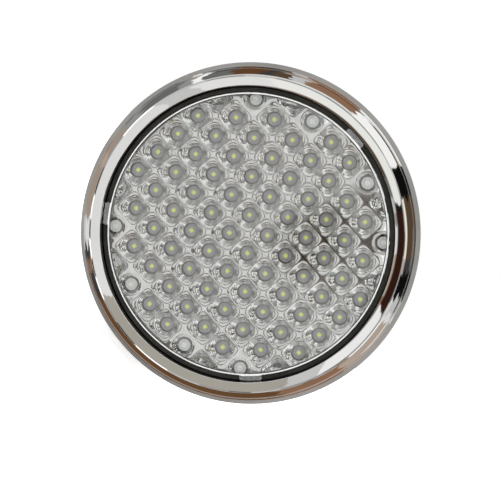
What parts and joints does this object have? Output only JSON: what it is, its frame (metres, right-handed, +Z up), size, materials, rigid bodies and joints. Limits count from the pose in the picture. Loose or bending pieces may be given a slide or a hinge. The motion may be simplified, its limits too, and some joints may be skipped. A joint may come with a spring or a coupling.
{
  "type": "trailer tail light",
  "caption": "Round recessed LED tail light with a clip-on chrome ring, clear lens over metallised light cups, a rubber gasket, rear studs and a rear plug socket.",
  "frame": {"origin": "on the lamp's axis, at the plane of the panel that the gasket seats on", "axes": "-Y is the way the lamp shines, +Z is up with one lens lug at the top, +X is to the right of a person who looks at the lens"},
  "size_m": [0.14, 0.0464, 0.14],
  "materials": {
    "chrome_plate": "polished",
    "clear_lens": "gloss",
    "metallised_optic": "polished",
    "seal_rubber": "matte",
    "gasket_foam": "matte",
    "black_abs": "satin",
    "board_white": "satin",
    "led_pack": "gloss",
    "rivet_nylon": "satin",
    "zinc_steel": "satin",
    "tinned_brass": "polished",
    "lead_insulation": "satin",
    "chip_black": "matte",
    "capacitor_sleeve": "gloss"
  },
  "bodies": {
    "root": {"ballast_resistor_1": "chip_black", "ballast_resistor_2": "chip_black", "ballast_resistor_3": "chip_black", "ballast_resistor_4": "chip_black", "breather_plug": "seal_rubber", "chrome_bezel": "chrome_plate", "circuit_board": "board_white", "connector_screw_1": "zinc_steel", "connector_screw_2": "zinc_steel", "connector_seal": "seal_rubber", "connector_socket": "black_abs", "current_driver_stop": "chip_black", "current_driver_tail": "chip_black", "feed_diode_stop": "chip_black", "feed_diode_tail": "chip_black", "flat_washer_1": "zinc_steel", "flat_washer_2": "zinc_steel", "flat_washer_3": "zinc_steel", "hex_nut_1": "zinc_steel", "hex_nut_2": "zinc_steel", "hex_nut_3": "zinc_steel", "housing": "black_abs", "lead_ground": "lead_insulation", "lead_stop": "lead_insulation", "lead_tail": "lead_insulation", "led_array": "led_pack", "lens": "clear_lens", "mounting_stud_1": "zinc_steel", "mounting_stud_2": "zinc_steel", "mounting_stud_3": "zinc_steel", "optic_rivet_1": "rivet_nylon", "optic_rivet_2": "rivet_nylon", "optic_rivet_3": "rivet_nylon", "optic_rivet_4": "rivet_nylon", "optic_rivet_5": "rivet_nylon", "optic_rivet_6": "rivet_nylon", "optic_rivet_7": "rivet_nylon", "optic_rivet_8": "rivet_nylon", "panel_gasket": "gasket_foam", "reflector": "metallised_optic", "seal_ring": "seal_rubber", "smoothing_capacitor": "capacitor_sleeve", "spring_washer_1": "zinc_steel", "spring_washer_2": "zinc_steel", "spring_washer_3": "zinc_steel", "terminal_ground": "tinned_brass", "terminal_stop": "tinned_brass", "terminal_tail": "tinned_brass"}
  },
  "joints": []
}
